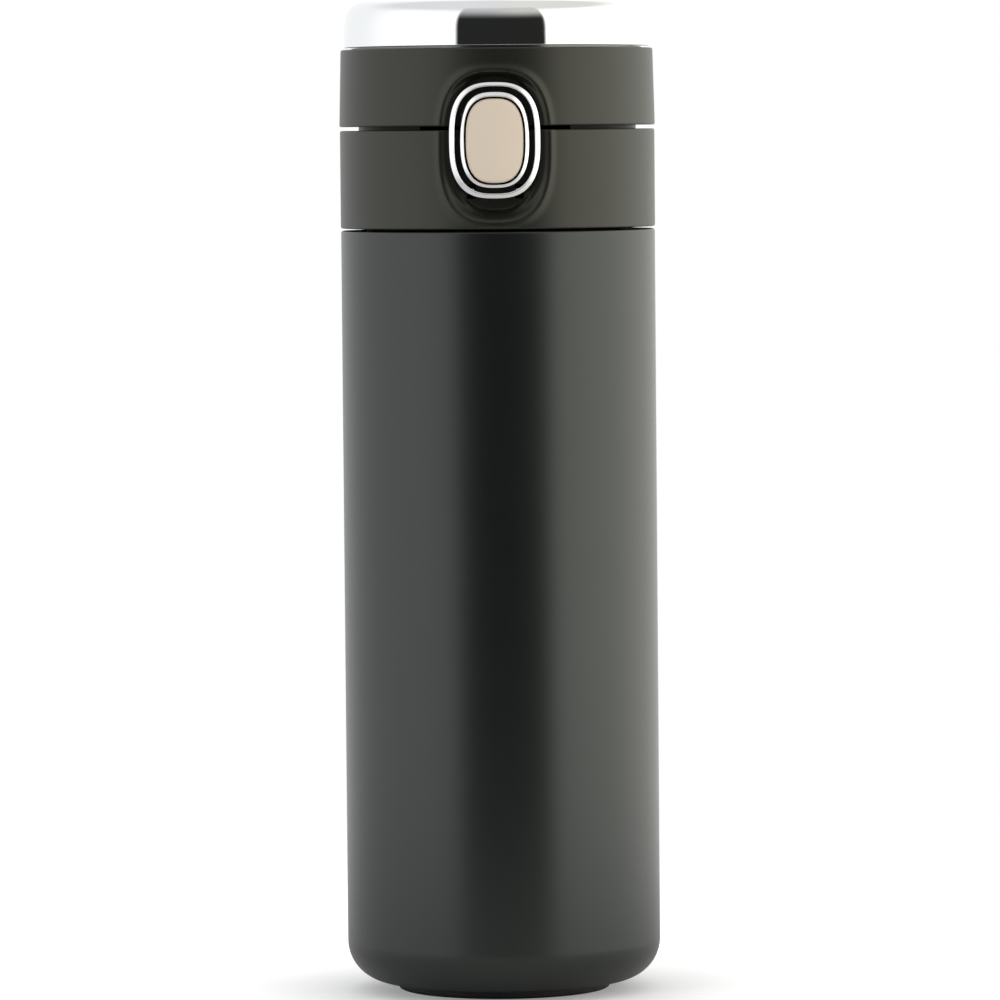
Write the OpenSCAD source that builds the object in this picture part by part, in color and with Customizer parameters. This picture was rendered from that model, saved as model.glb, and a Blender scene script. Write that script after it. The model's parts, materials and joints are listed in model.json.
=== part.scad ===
// One-touch vacuum flask: steel double-wall bottle, screw-on pouring collar,
// sprung flip lid with a front latch button, and a pivoting safety lock ring.
// Origin: centre of the base on the table. +Z up, button towards -Y, hinge towards +Y.

/* [Bottle] */
// Outside diameter of the steel body
body_d = 70; // [69:0.25:71]
// Height of the shoulder, where the screw-on collar begins
shoulder_z = 169.8; // [150:0.2:200]
// Sheet thickness of both steel walls
steel_t = 0.5; // [0.4:0.1:0.8]
// Rounding of the body's bottom corner
corner_r = 9.1; // [8:0.1:10]
// Diameter of the soft foot under the base
foot_d = 47.4; // [40:0.2:50]
// Height of the soft foot
foot_h = 1.9; // [1.5:0.1:2.2]
// Clear space between the two steel walls
vacuum_gap = 2.3; // [2:0.1:2.5]
// Outside diameter of the neck, without its thread
neck_d = 54.8; // [54.4:0.1:55]
// Height of the neck above the shoulder
neck_h = 17; // [16.6:0.1:17.2]
// Inside diameter of the drinking mouth
mouth_d = 46.8; // [46.6:0.1:47]

/* [Screw thread] */
// Rise in one turn of the collar
thread_pitch = 4; // [4:0.1:4.4]
// Depth of both threads
thread_depth = 1.1; // [0.9:0.05:1.1]

/* [Collar] */
// Outside diameter of the collar
collar_d = 70.1; // [70:0.1:70.3]
// Height of the collar
collar_h = 21.7; // [21.6:0.1:21.8]
// Open seam between body and collar
body_seam = 0.5; // [0.4:0.05:0.6]
// Wall of the moulded covers
wall_t = 1.6; // [1.5:0.05:1.65]
// Outside diameter of the raised ring inside the lid's edge
upstand_d = 61.8; // [61.4:0.1:62]

/* [Lid] */
// Gap between collar and lid
lid_gap = 0.85; // [0.7:0.05:1]
// Height of the lid's moulded band
lid_h = 17.1; // [17:0.05:17.4]
// Height of the bright cap above the band
cap_h = 11.25; // [10.95:0.05:11.5]
// Diameter of the bright cap at its foot
cap_d = 68.1; // [67.6:0.1:68.4]

/* [Button and lock ring] */
// Depth of the front recess
recess_depth = 2.9; // [2.85:0.05:2.95]
// Half width of the front recess
recess_half_w = 12.9; // [12.8:0.05:13]
// Half height of the front recess
recess_half_h = 16.8; // [16.7:0.05:16.9]
// Half width of the lock ring
lock_half_w = 9.95; // [9.9:0.05:10]
// Half height of the lock ring
lock_half_h = 12.65; // [12.6:0.05:12.7]
// Half width of the button with its bright rim
button_half_w = 7.55; // [7.5:0.05:7.6]
// Half height of the button with its bright rim
button_half_h = 10.45; // [10.35:0.05:10.5]
// Squareness of the oval shapes: 2 is an ellipse
oval_power = 2.75; // [2.6:0.05:2.9]
// How far the button's centre lies below the collar's top
button_drop = 2.2; // [2.1:0.05:2.3]
// How far the button moves in
button_travel = 1.4; // [1.2:0.1:1.4]

/* [Hinge] */
// Distance of the hinge pin behind the flask's axis
hinge_y = 38; // [38:0.1:38.4]
// Radius of the hinge knuckles
knuckle_r = 2.6; // [2.4:0.1:2.6]
// Radius of the hinge pin
pin_r = 1.2; // [1:0.05:1.2]

/* [Hidden] */
$fn = 240;
fit = 0.3;            // clearance between parts that pass each other
running = 0.06;       // radial clearance of the hinge pin in the lid

body_r = body_d / 2;
neck_r = neck_d / 2;
neck_top = shoulder_z + neck_h;
mouth_r = mouth_d / 2;
liner_neck_r = mouth_r + steel_t;
liner_r = body_r - steel_t - vacuum_gap;
weld_z = foot_h + corner_r;
liner_floor_z = foot_h + 4.5;
lip_r = 1.2;
seal_r = 3;
shoulder_round = 0.6;
neck_root_rise = 2.4;
neck_root_w = 1.5;

collar_r = collar_d / 2;
collar_z = shoulder_z + body_seam;
collar_top = collar_z + collar_h;
collar_inner_r = collar_r - wall_t;
upstand_r = upstand_d / 2;
upstand_top = collar_top + 3.1;
deck_z = neck_top + 0.6;
deck_top = collar_top - 0.8;
thread_clear = 0.4;
bore_r = neck_r + thread_depth + thread_clear;
sleeve_r = bore_r + 1.4;
sleeve_z = collar_z + 1.5;

spout_outer_r = 17.3;
spout_inner_r = 15.5;
spout_top = collar_top + 13.1;
spout_flange_r = 19.4;

plug_r = 22.2;
plug_inner_r = spout_outer_r + 1;
plug_z = collar_top - 15.8;
gasket_z = [plug_z + 1.15, plug_z + 4.45];
gasket_groove = [gasket_z[0] - 0.15, gasket_z[1] + 0.15];
gasket_lip = 0.4;

lid_z = collar_top + lid_gap;
lid_top = lid_z + lid_h;
lid_bottom_r = collar_r + 0.1;
lid_top_r = collar_r - 0.3;
lid_inner_r = collar_inner_r;
lid_flange_t = 1.6;
liner_plate_t = 1.6;
liner_plate_z = lid_top - lid_flange_t - liner_plate_t;
lid_gasket_r = [13.2, 19.2];
lid_gasket_z = spout_top + fit;
cap_r = cap_d / 2;
cap_reveal = 0.4;
cap_corner_r = 3.3;
cap_top = lid_top + cap_h;
cap_dome = 0.9;
cap_seat_r = 32.6;
cap_wall = 1.1;

button_z = collar_top - button_drop;
recess_half = [recess_half_w, recess_half_h];
recess_back_half = recess_half + [wall_t, wall_t];
recess_z = button_z - 0.3;
floor_y = recess_depth - collar_r;
recess_wall_y = floor_y + wall_t;

lock_half = [lock_half_w, lock_half_h];
lock_z = button_z - 0.1;      // the ring's outline sits lower than its opening
lock_band = [1.15, 0.95];
lock_face_r = collar_r + 1;
lock_back_y = floor_y - 1.5;
lock_axis = [(floor_y + recess_wall_y) / 2, button_z - 11.1];
ear_x = [4.6, 5.8];
ear_r = 0.7;
trunnion_r = 0.5;
trunnion_x = 7.4;
lug_z = [button_z + 11.75, button_z + 12.4];

button_half = [button_half_w, button_half_h];
button_face_r = collar_r + 0.7;
button_plate_y = [-34.5, -33.9];
trim_band = 0.83;
pad_half = button_half - [1.25, 1.25];
pad_z = button_z - 0.2;       // the bright rim is wider above the pad than below it
stem_half = 5;
stem_z = [neck_top + 1.5, neck_top + 4.0];
arm_y = [-28.6, -26.9];
hook_y = -29.3;
hook_half = 3.6;
hook_z = [collar_top + 4, collar_top + 5.6];
catch_z = [collar_top + 2.6, collar_top + 3.65];
catch_y = -29.9;
spring_z = collar_top + 1.6;
spring_room_z = spring_z + 2.6;
spring_post_y = [-21.5, -19.7];

hinge_z = collar_top + lid_gap / 2;
lid_knuckle_x = [3.3, 6.9];
collar_knuckle_x = [7.2, 10.8];
heel_reach = 3.4;

charcoal = "#4b4a45";
steel = "#b9bcbe";
paint = "#2c312f";
chrome = "#dfe2e4";
black = "#1d1e1f";
rubber = "#3a3a3a";
silicone = "#d9d6cf";
beige = "#d8cbb8";

// Cuts that go right through the flask
front_y = -45;
cut_y = -20;
tall = cap_top + 10;
wide_r = 60;

// ---- helpers ----

function arc(centre, r, a0, a1, steps = 10) =
  [for (i = [0 : steps]) let (a = a0 + (a1 - a0) * i / steps) centre + r * [cos(a), sin(a)]];

function oval(half, power = oval_power, steps = 72) =
  [for (i = [0 : steps - 1])
    let (a = 360 * i / steps)
    [half.x * sign(cos(a)) * pow(abs(cos(a)), 2 / power),
     half.y * sign(sin(a)) * pow(abs(sin(a)), 2 / power)]];

// Straight tube about Z
module tube(outer, inner, z0, z1) {
  difference() {
    translate([0, 0, z0]) cylinder(r = outer, h = z1 - z0);
    translate([0, 0, z0 - 1]) cylinder(r = inner, h = z1 - z0 + 2);
  }
}

// Box from its lowest to its highest corner
module block(low, high) {
  translate(low) cube(high - low);
}

// Oval prism on the front of the flask, from y0 back to y1
module front_oval(half, z, y0, y1) {
  translate([0, y1, z]) rotate([90, 0, 0]) linear_extrude(y1 - y0) polygon(oval(half));
}

// Everything further than r from the flask's axis
module outside_of(r) {
  tube(wide_r, r, -1, tall);
}

// Cylinder along X
module rod_x(r, x0, x1, y, z) {
  translate([x0, y, z]) rotate([0, 90, 0]) cylinder(r = r, h = x1 - x0);
}

// The same piece on the right and on the left
module both_sides() {
  children();
  mirror([1, 0, 0]) children();
}

// Helical rib with a four-sided section, its root sunk a little into the wall
module thread_rib(root, crest, root_w, crest_w, z0, turns) {
  per_turn = 30;
  steps = ceil(turns * per_turn);
  sink = root < crest ? -0.3 : 0.3;
  ramp = 3;
  function grow(i) = min(1, (i + 0.2) / ramp, (steps - i + 0.2) / ramp);
  function section(i) =
    let (a = 360 * i / per_turn, z = z0 + thread_pitch * i / per_turn,
         tip = root + (crest - root) * grow(i), dir = [cos(a), sin(a)])
    [[dir.x * (root + sink), dir.y * (root + sink), z - root_w / 2],
     [dir.x * tip, dir.y * tip, z - crest_w / 2],
     [dir.x * tip, dir.y * tip, z + crest_w / 2],
     [dir.x * (root + sink), dir.y * (root + sink), z + root_w / 2]];
  points = [for (i = [0 : steps]) each section(i)];
  outward = root < crest;
  function turn_face(f) = outward ? [f[2], f[1], f[0]] : f;
  sides = [for (i = [0 : steps - 1], k = [0 : 3])
    let (a = 4 * i + k, b = 4 * i + (k + 1) % 4)
    each [turn_face([a, a + 4, b]), turn_face([b, a + 4, b + 4])]];
  last = 4 * steps;
  ends = [turn_face([0, 1, 2]), turn_face([0, 2, 3]),
          turn_face([last, last + 2, last + 1]), turn_face([last, last + 3, last + 2])];
  polyhedron(points, concat(sides, ends));
}

// Coil spring about Z from z0 to z1: round wire swept along a helix
module coil(coil_r, wire_r, z0, z1, turns) {
  per_turn = 16;
  sides = 6;
  steps = turns * per_turn;
  points = [for (i = [0 : steps], k = [0 : sides - 1])
    let (a = 360 * i / per_turn, w = 360 * k / sides, r = coil_r + wire_r * cos(w))
    [r * cos(a), r * sin(a), z0 + (z1 - z0) * i / steps + wire_r * sin(w)]];
  walls = [for (i = [0 : steps - 1], k = [0 : sides - 1])
    let (a = sides * i + k, b = sides * i + (k + 1) % sides)
    each [[a, b, a + sides], [b, b + sides, a + sides]]];
  last = sides * steps;
  caps = [[for (k = [sides - 1 : -1 : 0]) k], [for (k = [0 : sides - 1]) last + k]];
  polyhedron(points, concat(walls, caps));
}

// Everything that the front recess takes away from the collar and the lid
module recess_cut() {
  front_oval(recess_half, recess_z, front_y, floor_y);
}

// The room that the wall behind the recess takes up
module recess_back_cut() {
  front_oval(recess_back_half, recess_z, front_y, recess_wall_y);
}

// Wall behind the recess, between two heights
module recess_backing(z0, z1) {
  intersection() {
    front_oval(recess_back_half, recess_z, front_y, recess_wall_y);
    translate([0, 0, z0]) cylinder(r = collar_inner_r + 0.4, h = z1 - z0);
  }
}

// ---- bottle ----

module outer_shell() {
  color(paint) union() {
    rotate_extrude() polygon(concat(
      [[body_r, weld_z]],
      arc([body_r - shoulder_round, shoulder_z - shoulder_round], shoulder_round, 0, 90, 6),
      [[neck_r + neck_root_w, shoulder_z + 0.3], [neck_r, shoulder_z + neck_root_rise]],
      arc([neck_r - lip_r, neck_top - lip_r], lip_r, 0, 90, 6),
      [[liner_neck_r, neck_top], [liner_neck_r, neck_top - steel_t]],
      arc([neck_r - lip_r, neck_top - lip_r], lip_r - steel_t, 90, 0, 6),
      [[neck_r - steel_t, shoulder_z + neck_root_rise - steel_t * 0.4]],
      [[neck_r + neck_root_w - steel_t * 0.8, shoulder_z + 0.3 - steel_t]],
      arc([body_r - shoulder_round, shoulder_z - shoulder_round], shoulder_round - steel_t, 90, 0, 6),
      [[body_r - steel_t, weld_z]]));
    thread_rib(neck_r, neck_r + thread_depth, 2, 1, shoulder_z + 5.3, 1.25);
  }
}

module outer_bottom() {
  color(paint) difference() {
    rotate_extrude() polygon(concat(
      [[0, foot_h], [body_r - corner_r, foot_h]],
      arc([body_r - corner_r, weld_z], corner_r, -90, 0, 16),
      arc([body_r - corner_r, weld_z], corner_r - steel_t, 0, -90, 16),
      [[0, foot_h + steel_t]]));
    cylinder(r = seal_r, h = weld_z);
  }
}

module inner_liner() {
  corner = 10;
  blend = 6;
  neck_blend_z = shoulder_z - 4;
  blend_z = neck_blend_z - 9;
  color(steel) rotate_extrude() polygon(concat(
    [[0, liner_floor_z], [liner_r - corner, liner_floor_z]],
    arc([liner_r - corner, liner_floor_z + corner], corner, -90, 0, 12),
    arc([liner_r - blend, blend_z], blend, 0, 50, 6),
    [[liner_neck_r, neck_blend_z], [liner_neck_r, neck_top]],
    [[mouth_r, neck_top], [mouth_r, neck_blend_z - steel_t / 2]],
    arc([liner_r - blend, blend_z], blend - steel_t, 50, 0, 6),
    arc([liner_r - corner, liner_floor_z + corner], corner - steel_t, 0, -90, 12),
    [[0, liner_floor_z + steel_t]]));
}

module reflective_foil() {
  color("#c98c5a") tube(liner_r + 0.15, liner_r, liner_floor_z + 14, shoulder_z - 18);
}

module getter() {
  color("#8d8f90") translate([14, 0, foot_h + steel_t]) cylinder(r = 5, h = 1.4);
}

module vacuum_seal() {
  color("#7f8486") translate([0, 0, foot_h]) {
    cylinder(r = seal_r, h = steel_t);
    translate([0, 0, steel_t]) cylinder(r = seal_r - 1, h = 0.5);
  }
}

module foot_pad() {
  foot_r = foot_d / 2;
  edge = 0.8;
  color(rubber) rotate_extrude() polygon(concat(
    [[0, 0], [foot_r - 7, 0], [foot_r - 6.6, 0.5], [foot_r - 5.4, 0.5], [foot_r - 5, 0]],
    arc([foot_r - edge, edge], edge, -90, 0, 6),
    [[foot_r, foot_h], [0, foot_h]]));
}

// ---- screw-on collar ----

module plug_gasket() {
  color(silicone) tube(mouth_r - 0.1, plug_r + 0.1, gasket_z[0], gasket_z[1]);
}

module collar_shell() {
  edge = 0.4;
  color(charcoal) difference() {
    union() {
      rotate_extrude() polygon(concat(
        [[collar_inner_r, collar_z]],
        arc([collar_r - edge, collar_z + edge], edge, -90, 0, 4),
        arc([collar_r - edge, collar_top - edge], edge, 0, 90, 4),
        [[collar_inner_r, collar_top]]));
      recess_backing(collar_z, collar_top);
      both_sides() collar_knuckle();
    }
    recess_cut();
    // notch for the button's stem
    block([-stem_half - 0.5, front_y, stem_z[0] - 0.4], [stem_half + 0.5, cut_y, tall]);
    both_sides() {
      // slot for the lock ring's ear, and the hole for its trunnion
      block([ear_x[0] - 0.4, front_y, lock_axis[1] - 1.7], [ear_x[1] + 0.4, cut_y, lock_axis[1] + 1.4]);
      rod_x(trunnion_r + running, ear_x[1], trunnion_x + 0.4, lock_axis[0], lock_axis[1]);
      rod_x(pin_r, collar_knuckle_x[0] - 1, collar_knuckle_x[1] - 0.8, hinge_y, hinge_z);
    }
  }
}

// Knuckle on the collar with the web that carries it
module collar_knuckle() {
  web_z = hinge_z - 5.2;
  rod_x(knuckle_r, collar_knuckle_x[0], collar_knuckle_x[1], hinge_y, hinge_z);
  difference() {
    block([collar_knuckle_x[0], 33, web_z], [collar_knuckle_x[1], hinge_y + knuckle_r - 0.6, collar_top]);
    cylinder(r = collar_inner_r + 0.4, h = tall);
    translate([0, hinge_y + knuckle_r + 2.4, web_z]) rotate([45, 0, 0]) cube([40, 4, 8], center = true);
  }
}

module stopper_core() {
  color(black) difference() {
    union() {
      tube(sleeve_r, bore_r, sleeve_z, deck_z);
      tube(collar_inner_r, plug_inner_r, deck_z, deck_top);
      tube(upstand_r, upstand_r - 2, deck_top, upstand_top);
      tube(plug_r, plug_inner_r, plug_z, deck_z);
      tube(mouth_r - gasket_lip, plug_r - 0.5, plug_z, gasket_groove[0]);
      tube(mouth_r - gasket_lip, plug_r - 0.5, gasket_groove[1], gasket_groove[1] + 1);
      thread_rib(bore_r, neck_r + thread_clear, 1.7, 0.8, shoulder_z + 3.4, 1);
      block([-3, spring_post_y[0], deck_top - 0.5], [3, spring_post_y[1], spring_room_z]);
    }
    recess_back_cut();
    // room for the lid's recess wall inside the upstand
    block([-16.5, front_y, deck_top], [16.5, -24, upstand_top + 1]);
    // pocket for the latch arm
    block([-stem_half - 0.6, front_y, stem_z[0] - 0.4],
          [stem_half + 0.6, arm_y[1] + button_travel + 0.6, tall]);
  }
}

module spout() {
  rim = 0.8;
  color(black) rotate_extrude() polygon(concat(
    [[spout_inner_r, plug_z + 2], [plug_inner_r - 0.6, plug_z + 2]],
    [[plug_inner_r, plug_z + 4], [plug_inner_r, deck_top]],
    [[spout_flange_r, deck_top], [spout_flange_r, deck_top + 0.9]],
    [[spout_outer_r + 1.2, deck_top + 1.2], [spout_outer_r, deck_top + 3]],
    arc([spout_outer_r - rim, spout_top - rim], rim, 0, 90, 6),
    arc([spout_inner_r + rim, spout_top - rim], rim, 90, 180, 6)));
}

// Hood over the button's spring, open towards the latch arm
module latch_cover() {
  low = [-4.6, arm_y[1] + button_travel + 0.6, deck_top];
  high = [4.6, spring_post_y[1] - 0.1, spring_z + 4.2];
  color(black) difference() {
    block(low, high);
    block([-3, front_y, deck_top - 1], [3, high.y + 1, spring_room_z]);
  }
}

module button_spring() {
  color(steel) translate([0, spring_post_y[0] - 0.25, spring_z]) rotate([90, 0, 0])
    coil(1.7, 0.22, 0, spring_post_y[0] - arm_y[1] - 0.5, 4);
}

// ---- hinge ----

module hinge_pin() {
  color(steel) rod_x(pin_r, -collar_knuckle_x[1] + 0.8, collar_knuckle_x[1] - 0.8, hinge_y, hinge_z);
}

module hinge_spring() {
  wire = 0.35;
  coil_half = 2.2;
  coil_r = pin_r + wire + 0.15;
  color(steel) union() {
    translate([-coil_half, hinge_y, hinge_z]) rotate([0, 90, 0]) rotate([0, 0, 180])
      coil(coil_r, wire, 0, 2 * coil_half, 5);
    // legs that press on the collar and on the lid
    translate([-coil_half, hinge_y - coil_r, hinge_z - 5]) cylinder(r = wire, h = 5, $fn = 16);
    translate([coil_half, hinge_y - coil_r, hinge_z]) cylinder(r = wire, h = 5, $fn = 16);
  }
}

module lid_bumper() {
  color(rubber) difference() {
    union() both_sides() block([lid_knuckle_x[0], 34.4, hinge_z - 5.2],
                               [lid_knuckle_x[1], collar_r + 0.7, hinge_z - 2.9]);
    cylinder(r = collar_r, h = tall);
  }
}

// ---- flip lid ----

module lid_shell() {
  edge = 0.7;
  color(charcoal) difference() {
    union() {
      rotate_extrude() polygon(concat(
        [[lid_inner_r, lid_z]],
        arc([lid_bottom_r - 0.4, lid_z + 0.4], 0.4, -90, 0, 4),
        arc([lid_top_r - edge, lid_top - edge], edge, 0, 90, 6),
        [[29, lid_top], [29, lid_top - lid_flange_t], [lid_inner_r, lid_top - lid_flange_t]]));
      recess_backing(lid_z, lid_top - lid_flange_t);
      lid_knuckles();
    }
    recess_cut();
    both_sides() rod_x(pin_r + running, lid_knuckle_x[0] - 1, lid_knuckle_x[1] + 1, hinge_y, hinge_z);
  }
  // lug that the lock ring holds down
  color(charcoal) block([-3, floor_y - 0.9, lug_z[0]], [3, floor_y + 0.5, lug_z[1]]);
}

// Knuckles, arms and stop heels at the back of the lid
module lid_knuckles() {
  both_sides() {
    rod_x(knuckle_r, lid_knuckle_x[0], lid_knuckle_x[1], hinge_y, hinge_z);
    difference() {
      block([lid_knuckle_x[0], 33, lid_z], [lid_knuckle_x[1], hinge_y, hinge_z + knuckle_r]);
      cylinder(r = lid_inner_r + 0.4, h = tall);
    }
    block([lid_knuckle_x[0], hinge_y, hinge_z - 0.5],
          [lid_knuckle_x[1], hinge_y + heel_reach, hinge_z + 0.9]);
  }
}

module chrome_cap() {
  foot_z = lid_top + cap_reveal;
  dome_edge_z = cap_top - cap_dome;
  side_top_z = dome_edge_z - cap_corner_r;
  shrink = 0.5;
  corner_x = cap_r - shrink - cap_corner_r;
  color(chrome) rotate_extrude() polygon(concat(
    [[cap_seat_r, foot_z], [cap_r, foot_z]],
    arc([corner_x, side_top_z], cap_corner_r, 4, 80, 12),
    [[corner_x * 0.66, cap_top - cap_dome * 0.45], [corner_x * 0.33, cap_top - cap_dome * 0.1]],
    [[0, cap_top], [0, cap_top - cap_wall]],
    [[corner_x * 0.33, cap_top - cap_dome * 0.1 - cap_wall]],
    [[corner_x * 0.66, cap_top - cap_dome * 0.45 - cap_wall]],
    arc([corner_x, side_top_z], cap_corner_r - cap_wall, 80, 4, 12),
    [[cap_seat_r - 0.2, foot_z + 1.4], [cap_seat_r - 1.4, foot_z + 1.4]],
    [[cap_seat_r - 1.4, lid_top], [cap_seat_r, lid_top]]));
}

module lid_liner() {
  gasket_wall = [[lid_gasket_r[0] - 0.9, lid_gasket_r[0]], [lid_gasket_r[1], lid_gasket_r[1] + 1]];
  wall_low = lid_gasket_z + 0.5;
  color(black) union() {
    difference() {
      translate([0, 0, liner_plate_z]) cylinder(r = lid_inner_r, h = liner_plate_t);
      recess_back_cut();
    }
    for (w = gasket_wall) tube(w[1], w[0], wall_low, liner_plate_z + 0.4);
  }
}

module lid_gasket() {
  color(silicone) tube(lid_gasket_r[1], lid_gasket_r[0], lid_gasket_z, liner_plate_z);
}

// Ledge inside the lid's front wall, under which the button's hook would pull
module lid_catch() {
  color(steel) block([-4, recess_wall_y, catch_z[0]], [4, catch_y, catch_z[1]]);
}

// ---- button ----

module button_body() {
  color(black) union() {
    difference() {
      front_oval(button_half - [0.1, 0.1], button_z, button_plate_y[0], button_plate_y[1]);
      outside_of(button_face_r - 0.5);
    }
    block([-stem_half, button_plate_y[1] - 0.1, stem_z[0]], [stem_half, arm_y[1], stem_z[1]]);
    block([-stem_half, arm_y[0], stem_z[0]], [stem_half, arm_y[1], hook_z[1]]);
    block([-hook_half, hook_y, hook_z[0]], [hook_half, arm_y[0] + 0.1, hook_z[1]]);
  }
}

module button_trim() {
  color(chrome) intersection() {
    difference() {
      front_oval(button_half, button_z, front_y, button_plate_y[0]);
      front_oval(button_half - [trim_band, trim_band], pad_z, front_y - 1, button_plate_y[0] + 1);
    }
    cylinder(r = button_face_r, h = tall);
  }
}

module button_pad() {
  color(beige) intersection() {
    front_oval(pad_half, pad_z, front_y, button_plate_y[0]);
    cylinder(r = button_face_r - 0.1, h = tall);
  }
}

// ---- lock ring ----

module lock_ring() {
  color(chrome) union() {
    intersection() {
      difference() {
        front_oval(lock_half, lock_z, front_y, lock_back_y);
        front_oval(lock_half - lock_band, button_z, front_y - 1, lock_back_y + 1);
      }
      cylinder(r = lock_face_r, h = tall);
    }
    both_sides() {
      rod_x(ear_r, ear_x[0], ear_x[1], lock_axis[0], lock_axis[1]);
      block([ear_x[0], lock_back_y - 0.3, lock_axis[1] - ear_r],
            [ear_x[1], lock_axis[0], lock_axis[1] + ear_r]);
      rod_x(trunnion_r, ear_x[1] - 0.2, trunnion_x, lock_axis[0], lock_axis[1]);
    }
  }
}

outer_shell();
outer_bottom();
inner_liner();
reflective_foil();
getter();
vacuum_seal();
foot_pad();
plug_gasket();
collar_shell();
stopper_core();
spout();
latch_cover();
button_spring();
hinge_pin();
hinge_spring();
lid_bumper();
lid_shell();
chrome_cap();
lid_liner();
lid_gasket();
lid_catch();
button_body();
button_trim();
button_pad();
lock_ring();
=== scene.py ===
import json
import math

import bmesh
import bpy
from mathutils import Matrix, Vector


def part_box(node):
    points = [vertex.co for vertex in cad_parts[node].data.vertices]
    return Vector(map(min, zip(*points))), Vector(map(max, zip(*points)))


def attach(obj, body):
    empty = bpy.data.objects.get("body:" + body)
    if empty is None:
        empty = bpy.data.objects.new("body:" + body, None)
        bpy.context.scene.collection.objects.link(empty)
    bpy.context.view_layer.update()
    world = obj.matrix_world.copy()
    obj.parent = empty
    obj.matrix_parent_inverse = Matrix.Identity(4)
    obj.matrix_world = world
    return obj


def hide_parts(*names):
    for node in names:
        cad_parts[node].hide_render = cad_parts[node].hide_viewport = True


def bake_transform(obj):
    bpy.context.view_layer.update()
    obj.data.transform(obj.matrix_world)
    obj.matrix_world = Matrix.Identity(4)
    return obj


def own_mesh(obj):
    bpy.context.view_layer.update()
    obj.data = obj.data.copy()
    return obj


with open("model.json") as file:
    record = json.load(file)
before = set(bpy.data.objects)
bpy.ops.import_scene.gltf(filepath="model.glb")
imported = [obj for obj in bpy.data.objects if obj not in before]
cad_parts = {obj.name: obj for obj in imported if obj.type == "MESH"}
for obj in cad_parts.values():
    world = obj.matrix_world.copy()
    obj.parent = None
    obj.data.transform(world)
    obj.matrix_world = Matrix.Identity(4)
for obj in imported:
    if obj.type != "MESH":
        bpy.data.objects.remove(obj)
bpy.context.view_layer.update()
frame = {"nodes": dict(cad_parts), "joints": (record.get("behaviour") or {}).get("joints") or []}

# ---------------------------------------------------------------- sizes, in millimetres


def span(node):
    """Lowest and highest corner of a CAD node, in millimetres."""
    low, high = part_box(node)
    return [1000 * v for v in low], [1000 * v for v in high]


def half_size(node):
    """Half width and half height of a CAD node on the flask's front."""
    low, high = span(node)
    return high[0], (high[2] - low[2]) / 2


def middle_z(node):
    """Height of the middle of a CAD node."""
    low, high = span(node)
    return (low[2] + high[2]) / 2


joints = {j["name"]: j for j in frame["joints"]}
hinge_y, hinge_z = (1000 * v for v in joints["lid_hinge"]["pos_m"][1:])
lock_y, lock_z = (1000 * v for v in joints["lock_swing"]["pos_m"][1:])

LID_GAP = 0.85
BODY_SEAM = 0.5
WALL = 1.6              # of the moulded covers
VACUUM_GAP = 2.3
RECESS_DEPTH = 2.9
LEDGE = 0.9             # how far the recess's sides stand in front of its floor
LIP = 0.35              # height of the soft lip round the recess
LOCK_BAND = (1.15, 0.95)    # width of the lock ring at its sides, and at its top and bottom
TRIM_BAND = 0.83
OVAL = 2.75             # squareness of the ovals: 2 is an ellipse
STEEL = span("outer_shell")[1][0] - span("inner_liner")[1][0] - VACUUM_GAP

body_r = span("outer_bottom")[1][0]
weld_z = span("outer_bottom")[1][2]
base_z = span("outer_bottom")[0][2]
neck_top = span("outer_shell")[1][2]
collar_z = span("collar_shell")[0][2]
shoulder_z = collar_z - BODY_SEAM
collar_top = hinge_z - LID_GAP / 2
collar_r = span("collar_shell")[1][0]
lid_z = hinge_z + LID_GAP / 2
lid_top = span("lid_shell")[1][2]
lid_bottom_r = span("lid_shell")[1][0]
lid_top_r = collar_r - 0.3
cap_top = span("chrome_cap")[1][2]
cap_r = span("chrome_cap")[1][0]
foot_r = span("foot_pad")[1][0]
neck_r = 27.4
neck_root_r = neck_r + 4
neck_lip_r = neck_r - 3.2
inner_wall_r = collar_r - WALL
button_z = middle_z("button_trim")

# The recess is made of ovals: a deep well, a floor round it, and the rim where it meets the cover.
floor_y = -(collar_r - RECESS_DEPTH)
ledge_y = floor_y - LEDGE
recess_well = dict(half=(9.6, 15.0), z=button_z - 0.75)
recess_floor = dict(half=(11.1, 14.75), z=button_z - 0.75)
recess_rim = dict(half=(12.0, 16.5), z=button_z - 1.5)

lock_half = half_size("lock_ring")
lock_open_half = (lock_half[0] - LOCK_BAND[0], lock_half[1] - LOCK_BAND[1])
button_half = half_size("button_trim")
pad_half = half_size("button_pad")
pad_z = middle_z("button_pad")
ring_z = middle_z("lock_ring")
lock_face_r = collar_r + 1.0
lock_back_y = floor_y - 1.5
trim_face_r = collar_r + 0.7
plate_y = span("button_trim")[1][1]

# ---------------------------------------------------------------- mesh helpers

SHARP = 40      # degrees: edges sharper than this are shaded as edges


def make_object(name, verts, faces, material):
    """A smooth-shaded mesh object from points in millimetres."""
    mesh = bpy.data.meshes.new(name)
    mesh.from_pydata([Vector(v) * 0.001 for v in verts], [], faces)
    mesh.validate()
    mesh.materials.append(material)
    obj = bpy.data.objects.new(name, mesh)
    bpy.context.scene.collection.objects.link(obj)
    mesh.polygons.foreach_set("use_smooth", [True] * len(mesh.polygons))
    return obj


def recalculate(obj):
    """Merges doubled points, turns every face outward and marks the sharp edges."""
    bm = bmesh.new()
    bm.from_mesh(obj.data)
    bmesh.ops.remove_doubles(bm, verts=bm.verts, dist=1e-7)
    bmesh.ops.recalc_face_normals(bm, faces=bm.faces)
    bm.to_mesh(obj.data)
    bm.free()
    obj.data.polygons.foreach_set("use_smooth", [True] * len(obj.data.polygons))
    obj.data.set_sharp_from_angle(angle=math.radians(SHARP))


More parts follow.
